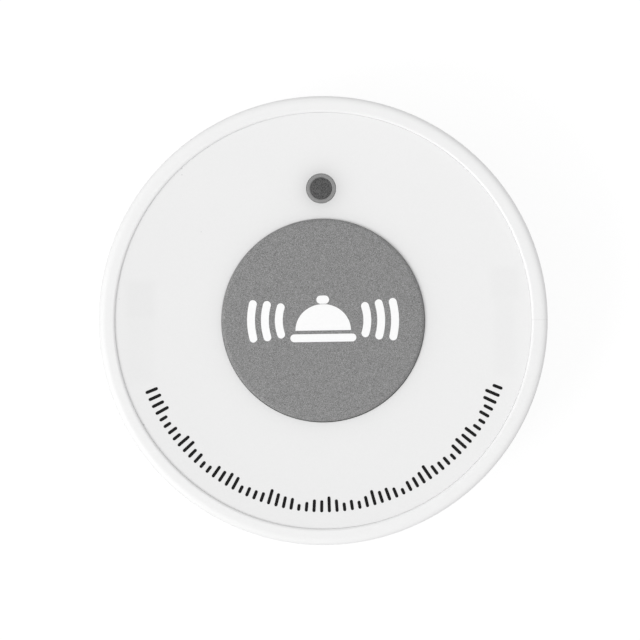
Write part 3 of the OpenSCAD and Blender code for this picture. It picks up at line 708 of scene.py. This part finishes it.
def box_part(low, high):
    """The points and quads of a block between two corners."""
    low, high = np.array(low, float), np.array(high, float)
    pick = np.array([[i & 1, i >> 1 & 1, i >> 2 & 1] for i in range(8)])
    faces = [[0, 2, 3, 1], [4, 5, 7, 6], [0, 1, 5, 4], [2, 6, 7, 3], [0, 4, 6, 2], [1, 3, 7, 5]]
    return low + pick * (high - low), faces


def film(grid, height, thickness):
    """A film of ink over a grid of (x, y) points.

    Its face is at height(x, y) + thickness, and its underside lies buried.
    """
    rows, columns = grid.shape[:2]
    x, y = grid[..., 0], grid[..., 1]
    ground = height(x, y)
    top = np.stack([x, y, ground + thickness], -1).reshape(-1, 3)
    low = np.stack([x, y, ground - INK_BURIED], -1).reshape(-1, 3)
    count = rows * columns
    faces = grid_faces(rows, columns, close_columns=False)
    under = [[i + count for i in reversed(face)] for face in faces]
    index = np.arange(count).reshape(rows, columns)
    rim = np.concatenate([index[0], index[1:, -1], index[-1, -2::-1], index[-2:0:-1, 0]])
    ahead = np.roll(rim, -1)
    walls = np.stack([rim, rim + count, ahead + count, ahead], -1).tolist()
    return np.concatenate([top, low]), faces + under + walls


def reach_of(corner):
    """A mesh corner's distance from the upright axis."""
    return math.hypot(*corner.co.xy)


def halve_round(work, low, high, above):
    """Halves the edges that run round the axis, and moves their middles out to the circle.

    It takes the level ones between two radii and above a height. Chords longer than a twentieth
    of the radius cross a flat face and stay whole. A middle lies less than 4 * PLAY inside its
    circle, which a level neighbour of it is on.
    """
    around = []
    for edge in work.edges:
        one, other = edge.verts
        reach = reach_of(one)
        level = abs(one.co.z - other.co.z) < PLAY and abs(reach - reach_of(other)) < PLAY
        inside = low * MM < reach < high * MM and one.co.z > above * MM
        if level and inside and edge.calc_length() < reach / 20:
            around.append(edge)
    made = bmesh.ops.subdivide_edges(work, edges=around, cuts=1, use_grid_fill=True)["geom_inner"]
    for middle in (item for item in made if isinstance(item, bmesh.types.BMVert)):
        ends = [edge.other_vert(middle) for edge in middle.link_edges]
        ends = [reach_of(end) for end in ends if abs(end.co.z - middle.co.z) < PLAY]
        circle = max(end for end in ends if end - reach_of(middle) < 4 * PLAY)
        middle.co.xy *= circle / reach_of(middle)


def dressed(name, node, material, bevel=0.0, rides=True, seat=None, finer=None):
    """A copy of a CAD piece with its triangles joined, its flat faces whole and its normals smooth.

    With bevel, its sharp edges are broken by that many millimetres. With seat, two radii, the
    points beyond the first move out until the farthest is at the second. With finer, two radii
    and a height, what runs round the axis between the radii and above the height gets four times
    the sides.
    """
    source = frame["nodes"][node]
    mesh = source.data.copy()
    mesh.name = name
    work = bmesh.new()
    work.from_mesh(mesh)
    bmesh.ops.remove_doubles(work, verts=work.verts, dist=SAME_POINT)
    bmesh.ops.dissolve_limit(
        work, angle_limit=math.radians(ONE_FACE), verts=work.verts, edges=work.edges
    )
    for _ in range(2 if finer else 0):
        halve_round(work, *finer)
    work.to_mesh(mesh)
    work.free()
    if seat:
        points = np.empty(len(mesh.vertices) * 3)
        mesh.vertices.foreach_get("co", points)
        points = points.reshape(-1, 3)
        reach = np.hypot(points[:, 0], points[:, 1])
        points[reach > seat[0] * MM, :2] *= seat[1] * MM / reach.max()
        mesh.vertices.foreach_set("co", points.ravel())
    shade(mesh, SMOOTH)
    body = source["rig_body"] if rides else None
    piece = place_piece(name, mesh, material, body, [node])
    if bevel:
        edge = piece.modifiers.new("broken_edges", "BEVEL")
        edge.width = bevel * MM
        edge.segments = render_levels
        edge.limit_method = "ANGLE"
        edge.angle_limit = math.radians(BEVELLED)
        edge.harden_normals = True
    even = piece.modifiers.new("even_normals", "WEIGHTED_NORMAL")
    even.keep_sharp = True
    even.weight = 80
    return piece


def leave_room(piece, radius, depth, slope):
    """A round recess in the middle of a piece's lowest face, for what stands still under it.

    Its wall leans in by slope.
    """
    work = bmesh.new()
    work.from_mesh(piece.data)
    low = min(corner.co.z for corner in work.verts)
    level = [
        face for face in work.faces
        if all(corner.co.z - low < SAME_POINT for corner in face.verts)
    ]
    lowest = max(level, key=lambda face: face.calc_area())
    edge = reach_of(lowest.verts[0])
    bmesh.ops.inset_individual(work, faces=[lowest], thickness=edge - radius * MM)
    bmesh.ops.inset_individual(work, faces=[lowest], thickness=slope * MM, depth=-depth * MM)
    work.to_mesh(piece.data)
    work.free()
    shade(piece.data, SMOOTH)


# ---------------------------------------------------------------- finishes on the CAD pieces

FINISHES = {
    "white_abs": moulded_white_abs,
    "grey_abs": eroded_grey_abs,
    "grey_silicone": grey_silicone_rubber,
    "dark_rubber": moulded_rubber,
    "smoked_lens": smoked_epoxy,
    "natural_nylon": natural_nylon,
    "zinc_screw": zinc_plate,
    "board_laminate": glass_laminate,
    "black_moulding": moulding_compound,
    "stainless_sheet": rolled_stainless,
    "tinned_lead": hot_tin,
    "nickel_can": drawn_nickel,
    "black_ceramic": black_ceramic,
    "tan_ceramic": tan_ceramic,
    "copper_wire": enamelled_copper,
    "gilt_bronze": gilt_bronze,
}
finished = {slot: finish(build) for slot, build in FINISHES.items()}
for subpart in frame["record"]["subparts"]:
    mesh = frame["nodes"][subpart["node"]].data
    mesh.materials.clear()
    mesh.materials.append(finished[subpart["material_slot"]])

white = finished["white_abs"]
plate_white = finish(face_plate_abs)
dressed("housing_case", "rear_case", white, finer=CASE_LIP)
dressed("face_plate", "top_plate", plate_white, seat=PLATE_SEAT, finer=PLATE_EDGE)
dressed("battery_door", "cell_door", white, bevel=DOOR_EDGE)

# The membrane rides on no body, and gets room under its web for the switch's stem. The dome gets
# a mesh of its own
silicone = finished["grey_silicone"]
membrane = dressed("membrane", "silicone_membrane", silicone, rides=False)
leave_room(membrane, STEM_ROOM_R, STEM_ROOM, STEM_ROOM_SLOPE)
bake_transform(membrane)
dome = dressed("snap_dome", "switch_dome", finished["stainless_sheet"])
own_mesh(dome)


# ---------------------------------------------------------------- the key


def crown(x, y):
    """Height of the key's face: a spherical cap over the face's edge.

    Its radius is (a * a + h * h) / 2h, with a the face's radius and h its crown.
    """
    face_r = KEY_R - KEY_ROUND
    ball = (face_r**2 + KEY_CROWN**2) / (2 * KEY_CROWN)
    return KEY_TOP - ball + np.sqrt(ball**2 - x**2 - y**2)


def key_mesh():
    """The key turned from its outline, with notches in its flange and four ribs under its face."""
    edge_z = KEY_TOP - KEY_CROWN
    under = edge_z - KEY_FACE
    wall_in = KEY_R - KEY_WALL
    face = np.linspace(0, KEY_R - KEY_ROUND, 40)
    skirt = rounded(
        [
            (KEY_R, edge_z, KEY_ROUND), (KEY_R, KEY_FLANGE_TOP, 0.15),
            (KEY_FLANGE_R, KEY_FLANGE_TOP, 0.15), (KEY_FLANGE_R, KEY_FLANGE_Z, 0.15),
            (wall_in, KEY_FLANGE_Z, 0.15), (wall_in, under, 0.3),
            (KEY_BOSS_R, under, 0.3), (KEY_BOSS_R, KEY_LOW, 0.2),
            (0, KEY_LOW, 0), (0, edge_z, 0),
        ]
    )[:-1]
    outline = np.concatenate([np.stack([face, crown(face, 0)], -1)[:-1], skirt])
    points, faces = turned(outline, 240)
    azimuth = np.degrees(np.arctan2(points[:, 1], points[:, 0])) % 360
    reach = np.hypot(points[:, 0], points[:, 1])
    for guide in GUIDES:
        notch = (np.abs(azimuth - guide) < NOTCH_HALF) & (reach > NOTCH_FROM)
        points[notch, :2] *= (NOTCH_R / reach[notch])[:, None]
    low = (KEY_BOSS_R - RIB_ROOT, -RIB_W / 2, under - RIB_H)
    high = (wall_in + RIB_ROOT, RIB_W / 2, under + RIB_ROOT)
    ribs = [box_part(low, high)]
    for _ in range(3):
        last, quads = ribs[-1]
        ribs.append((last[:, [1, 0, 2]] * (-1, 1, 1), quads))
    return joined_mesh("key_cap", [(p + KEY_SIT, f) for p, f in [(points, faces)] + ribs], 40)


place_piece("key_cap", key_mesh(), finished["grey_abs"], "key", ["call_key"])


# ---------------------------------------------------------------- the prints


# How thick the ink is on the key and on the plate, and how deep its underside lies below them
KEY_INK = 0.02
PLATE_INK = 0.012
INK_BURIED = 0.03
# Counter bell: (width, height, foot of its dome), its base and its knob as (width, height, middle)
BELL_DOME = (7.4, 3.5, -1.35)
BELL_BASE = (8.8, 1.05, (0, -2.35))
BELL_KNOB = (1.7, 1.1, (0, 2.75))
# Sound arcs: (radius, span in degrees), and their stroke
ARCS = ((5.9, 46), (7.75, 40), (9.6, 34))
ARC_STROKE = 1.05
# Bars on the plate: the radius of their feet, their number, width, first and last azimuth
BARS_R = 25.6
BARS = 60
BAR_WIDTH = 0.42
BARS_SPAN = (201.3, 338.3)


def strip(length, width, rows, columns):
    """Places along and across a round-ended strip, from its middle, on a grid.

    The half width is width / 2 * sqrt(1 - e * e), where e runs from 0 to 1 over the last half
    width at each end.
    """
    reach = length / 2
    along = -np.cos(np.linspace(0, np.pi, rows)) * reach
    end = np.clip((np.abs(along) - (reach - width / 2)) / (width / 2), 0, 1)
    half = width / 2 * np.sqrt(1 - end**2)
    across = np.linspace(-1, 1, columns) * half[:, None]
    return np.broadcast_to(along[:, None], across.shape), across


def bow(radius, span, stroke, middle):
    """A grid for a band of a circle, span degrees long: a strip bent round to middle degrees.

    A point is at the radius + its place across, and at the angle middle + its place along / radius.
    """
    along, across = strip(math.radians(span) * radius, stroke, 41, 5)
    angle = math.radians(middle) + along / radius
    away = radius + across
    return np.stack([away * np.cos(angle), away * np.sin(angle)], -1)


def pill(width, height, middle):
    """A grid for a round-ended bar: a strip laid along X, about its middle."""
    along, across = strip(width, height, 33, 4)
    return np.stack([along + middle[0], across + middle[1]], -1)


def bell_dome(width, height, foot):
    """A grid for the bell: up from foot by height * sqrt(1 - u * u), with u from -1 to 1 across."""
    u = -np.cos(np.linspace(0, np.pi, 41))
    top = height * np.sqrt(1 - u**2)
    rise = np.linspace(0, 1, 8)[None, :] * top[:, None]
    return np.stack([np.broadcast_to(u[:, None] * width / 2, rise.shape), rise + foot], -1)


def key_print_mesh():
    """A counter bell between three sound arcs on each side: films of ink over the key's crown."""
    grids = [bell_dome(*BELL_DOME), pill(*BELL_BASE), pill(*BELL_KNOB)]
    for radius, span in ARCS:
        grids += [bow(radius, span, ARC_STROKE, middle) for middle in (0, 180)]
    films = [film(grid, crown, KEY_INK) for grid in grids]
    return joined_mesh("key_print", [(p + KEY_SIT, f) for p, f in films], 30)


def plate_print_mesh():
    """An arc of upright bars like a sound level, pad-printed along the plate's lower edge.

    Bar k stands on radius BARS_R and is 1.55 + 0.4 sin(0.9 k) + 0.25 sin(2.3 k + 1) mm long
    towards the middle. It has every other row of a pill's grid.
    """
    parts = []
    for k, azimuth in enumerate(np.radians(np.linspace(*BARS_SPAN, BARS))):
        length = 1.55 + 0.4 * math.sin(0.9 * k) + 0.25 * math.sin(2.3 * k + 1)
        bar = pill(length, BAR_WIDTH, (BARS_R - length / 2, 0))[::2]
        cos, sin = math.cos(azimuth), math.sin(azimuth)
        turn = np.array([[cos, sin], [-sin, cos]])
        parts.append(film(bar @ turn, lambda x, y: np.full_like(x, PLATE_TOP), PLATE_INK))
    return joined_mesh("plate_print", parts, 30)


place_piece("key_print", key_print_mesh(), finish(white_pad_ink), "key")
place_piece("plate_print", plate_print_mesh(), finish(black_pad_ink), "housing")


# ---------------------------------------------------------------- the light and the foot


def lens_mesh():
    """The light turned from its outline: a flat-topped barrel on a flange."""
    low, high = bottom_of("indicator_light"), top_of("indicator_light")
    outline = rounded(
        [
            (0, high, 0), (LIGHT_R, high, 0.12), (LIGHT_R, low + LIGHT_FLANGE, 0.1),
            (LIGHT_FLANGE_R, low + LIGHT_FLANGE, 0.12), (LIGHT_FLANGE_R, low, 0.12), (0, low, 0),
        ]
    )
    return joined_mesh("light_lens", [turned(outline, 96, (0, LIGHT_Y))], 40)


def foot_mesh():
    """The rubber ring, with three shallow grip grooves turned into its underside."""
    inner, outer = FOOT_R - FOOT_W / 2, FOOT_R + FOOT_W / 2
    corners = [(outer, FOOT_TOP, 0.1), (outer, 0, 0.4)]
    mouth, bottom = GROOVE_MOUTH_HALF, GROOVE_BOTTOM_HALF
    for groove in (FOOT_R + GROOVE_PITCH, FOOT_R, FOOT_R - GROOVE_PITCH):
        corners += [
            (groove + mouth, 0, 0.06), (groove + bottom, GROOVE_DEPTH, 0.06),
            (groove - bottom, GROOVE_DEPTH, 0.06), (groove - mouth, 0, 0.06),
        ]
    corners += [(inner, 0, 0.4), (inner, FOOT_TOP, 0.1)]
    return joined_mesh("rubber_foot", [turned(rounded(corners, 15), 240)], 50)


smoked, rubber = finished["smoked_lens"], finished["dark_rubber"]
place_piece("light_lens", lens_mesh(), smoked, "housing", ["indicator_light"])
place_piece("rubber_foot", foot_mesh(), rubber, "housing", ["foot_ring"])


# ---------------------------------------------------------------- floor, lamps, world and camera


def is_seen(add):
    """1 for what is seen directly, in a gloss or through glass, and 0 for light on its way."""
    seen = 0.0
    for ray in ("Is Camera Ray", "Is Glossy Ray", "Is Transmission Ray"):
        seen = add("Math", (seen, add("LightPath", give=ray)), operation="MAXIMUM")
    return seen


# The floor's half width, and its height just under the foot, in metres
FLOOR = 3.0
FLOOR_Z = -5e-5
# The floor is seen as a glow and a grey that takes the shadow, which come to white in the open
FLOOR_GLOW = 0.86
FLOOR_GREY = 0.18
# Strength of the world as light. It is seen at 1
SKY = 0.72

floor_mesh = bpy.data.meshes.new("floor")
corners = ((-FLOOR, -FLOOR), (FLOOR, -FLOOR), (FLOOR, FLOOR), (-FLOOR, FLOOR))
floor_mesh.from_pydata([(x, y, FLOOR_Z) for x, y in corners], [], [(0, 1, 2, 3)])
floor = new_object("floor", floor_mesh)

pale_floor = bpy.data.materials.new("pale_floor")
add = fresh_nodes(pale_floor)
glow = add("Emission", {"Color": (1, 1, 1, 1), "Strength": FLOOR_GLOW})
shadow = add("BsdfDiffuse", {"Color": (FLOOR_GREY, FLOOR_GREY, FLOOR_GREY, 1)})
painted = add("BsdfDiffuse", {"Color": (*linear("#C4C4C4"), 1)})
shown = add("AddShader", (glow, shadow))
add("OutputMaterial", {"Surface": add("MixShader", (is_seen(add), painted, shown))})
floor_mesh.materials.append(pale_floor)

world = bpy.data.worlds.new("studio")
bpy.context.scene.world = world
add = fresh_nodes(world)
strength = add("MapRange", (is_seen(add), 0, 1, SKY, 1))
add("OutputWorld", {"Surface": add("Background", {"Color": (1, 1, 1, 1), "Strength": strength})})


def lamp(name, azimuth, elevation, share, width):
    """A soft distant lamp that gives a level surface a share of its light.

    Its strength is share * pi / sin(elevation), and it is width degrees wide.
    """
    data = bpy.data.lights.new(name, "SUN")
    data.energy = share * math.pi / math.sin(math.radians(elevation))
    data.angle = math.radians(width)
    turn = (math.radians(90 - elevation), 0, math.radians(azimuth + 90))
    new_object(name, data).rotation_euler = turn


lamp("main_lamp", 212, 40, 0.21, 25)
lamp("second_lamp", 180, 45, 0.08, 40)

# Straight above, turned a little clockwise, with a long lens. It takes in VIEW at the height RIM,
# and its middle is ASIDE and UP from the axis, as the picture shows them
SENSOR, LENS, VIEW, RIM = 36, 200, 85.71, 14
ROLL, ASIDE, UP = math.radians(-0.9), -0.428, 0.08
eye = bpy.data.cameras.new("camera")
eye.sensor_width, eye.lens = SENSOR, LENS
eye.clip_start, eye.clip_end = 0.01, 20
camera = new_object("camera", eye)
camera.location = (
    (ASIDE * math.cos(ROLL) - UP * math.sin(ROLL)) * MM,
    (ASIDE * math.sin(ROLL) + UP * math.cos(ROLL)) * MM,
    (VIEW * LENS / SENSOR + RIM) * MM,
)
camera.rotation_euler = (0, 0, ROLL)
bpy.context.scene.camera = camera
bpy.context.scene.view_settings.view_transform = "Standard"
